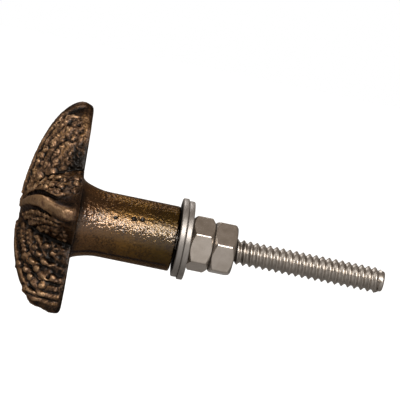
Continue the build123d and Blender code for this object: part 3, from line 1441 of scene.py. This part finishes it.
@dataclass
class Setting:
    """Camera, lamps, floor and surroundings."""

    yaw: float = 4.196
    rise: float = 5.041
    tip: float = 11.686
    distance: float = 508.696
    scale: float = 5.395
    neck_end: float = -11.15
    shift_right: float = -24.957
    shift_down: float = 39.047
    frame_width: int = 400

    def camera(self) -> None:
        """Places the camera beside the knob."""
        yaw, rise = math.radians(self.yaw), math.radians(self.rise)
        back = Vector((math.cos(yaw) * math.cos(rise), -math.sin(yaw), math.cos(yaw) * math.sin(rise)))
        right = (-back).cross(Vector((0, 0, 1))).normalized()
        up = right.cross(-back)
        axis = Vector((0, 1, 0))
        roll = math.atan2(axis.dot(up), axis.dot(right)) + math.radians(self.tip)
        turned_right = right * math.cos(roll) + up * math.sin(roll)
        turned_up = up * math.cos(roll) - right * math.sin(roll)
        place = Vector((0, self.neck_end, 0)) - turned_right * (self.shift_right / self.scale)
        place += turned_up * (self.shift_down / self.scale) + back * self.distance
        deselect()
        bpy.ops.object.camera_add(location=place * MM)
        made = bpy.context.object
        made.name = "camera"
        made.rotation_mode = "QUATERNION"
        made.rotation_quaternion = Matrix((turned_right, turned_up, back)).transposed().to_quaternion()
        made.data.sensor_width = SENSOR
        made.data.lens = self.scale * self.distance * SENSOR / self.frame_width
        made.data.clip_start = 0.01
        bpy.context.scene.camera = made

    def world(self) -> None:
        """Makes the pale surroundings, white where the camera looks."""
        world = bpy.data.worlds.new("surroundings")
        bpy.context.scene.world = world
        world.use_nodes = True
        kit = Shading(world.node_tree)
        ground = world.node_tree.nodes["Background"]
        height = kit.plus(kit.times(kit.axes("Generated")[2], 0.5), 0.5)
        below = ((0.0, (0.50, 0.49, 0.48)), (0.46, (0.46, 0.45, 0.44)))
        above = ((0.6, (0.27, 0.235, 0.205)), (1.0, (0.31, 0.27, 0.235)))
        seen = kit.node("ShaderNodeLightPath").outputs["Is Camera Ray"]
        kit.link(kit.mix(seen, kit.ramp(height, below + above), (1.0, 1.0, 1.0)), ground.inputs["Color"])
        ground.inputs["Strength"].default_value = 1.0

    def floor(self) -> None:
        """Lays a pale floor under the knob."""
        deselect()
        bpy.ops.mesh.primitive_grid_add(x_subdivisions=4, y_subdivisions=4, size=3.0, location=(0, 0, 0))
        floor = rename("floor")
        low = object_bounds()[0]
        for point in floor.data.vertices:
            point.co.z = low[2] - 0.012
        made, kit, shader = new_finish("pale_floor")
        shader.inputs["Base Color"].default_value = rgba((0.3, 0.3, 0.3))
        shader.inputs["Roughness"].default_value = 0.9
        shader.inputs["Emission Color"].default_value = rgba((1.0, 1.0, 1.0))
        ray = kit.node("ShaderNodeLightPath").outputs
        # painted shadow in reflections: glossy rays see the floor's glow rise from 4 mm to 34 mm out in +X;
        # under and behind the knob it stays dark
        away = kit.span(kit.axes()[0], 0.004, 0.034, "SMOOTHSTEP")
        glow = kit.times(ray["Is Glossy Ray"], kit.times(away, 0.27))
        glow = kit.plus(glow, kit.times(ray["Is Camera Ray"], 0.92))
        kit.link(glow, shader.inputs["Emission Strength"])
        floor.data.materials.append(made)
        floor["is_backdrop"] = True

    def build(self) -> None:
        """Builds the whole setting."""
        self.camera()
        self.world()
        self.floor()
        for lamp in LAMPS:
            lamp.add()
        bpy.context.scene.view_settings.view_transform = "Standard"


# ---- Assembly ----


def finish_piece(piece: Piece, finish: Material, node: str) -> None:
    """Dresses a piece and puts it in its node's stead.

    Args:
        piece: The finished mesh object.
        finish: Its material.
        node: The solid that it stands for.
    """
    piece.data.materials.clear()
    piece.data.materials.append(finish)
    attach(piece, "root")
    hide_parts(node)
    LOG.info("%s: %d points", piece.name, len(piece.data.vertices))


def main() -> None:
    """Builds the knob piece by piece, then its setting."""
    logging.basicConfig(level=logging.INFO, format="%(name)s: %(message)s")
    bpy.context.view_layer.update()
    brass = AntiqueBrass().build()
    nickel = NickelPlate().build()
    Casting(brass).build()
    Stud(DULL_NICKEL.build()).build()
    zinc = DULL_ZINC.build()
    Washer("inner_washer", zinc).build()
    Washer("outer_washer", zinc).build()
    Nut("inner_nut", nickel, turn=5.0).build()
    Nut("outer_nut", nickel, turn=19.0).build()
    Setting().build()


if __name__ == "__main__":
    main()
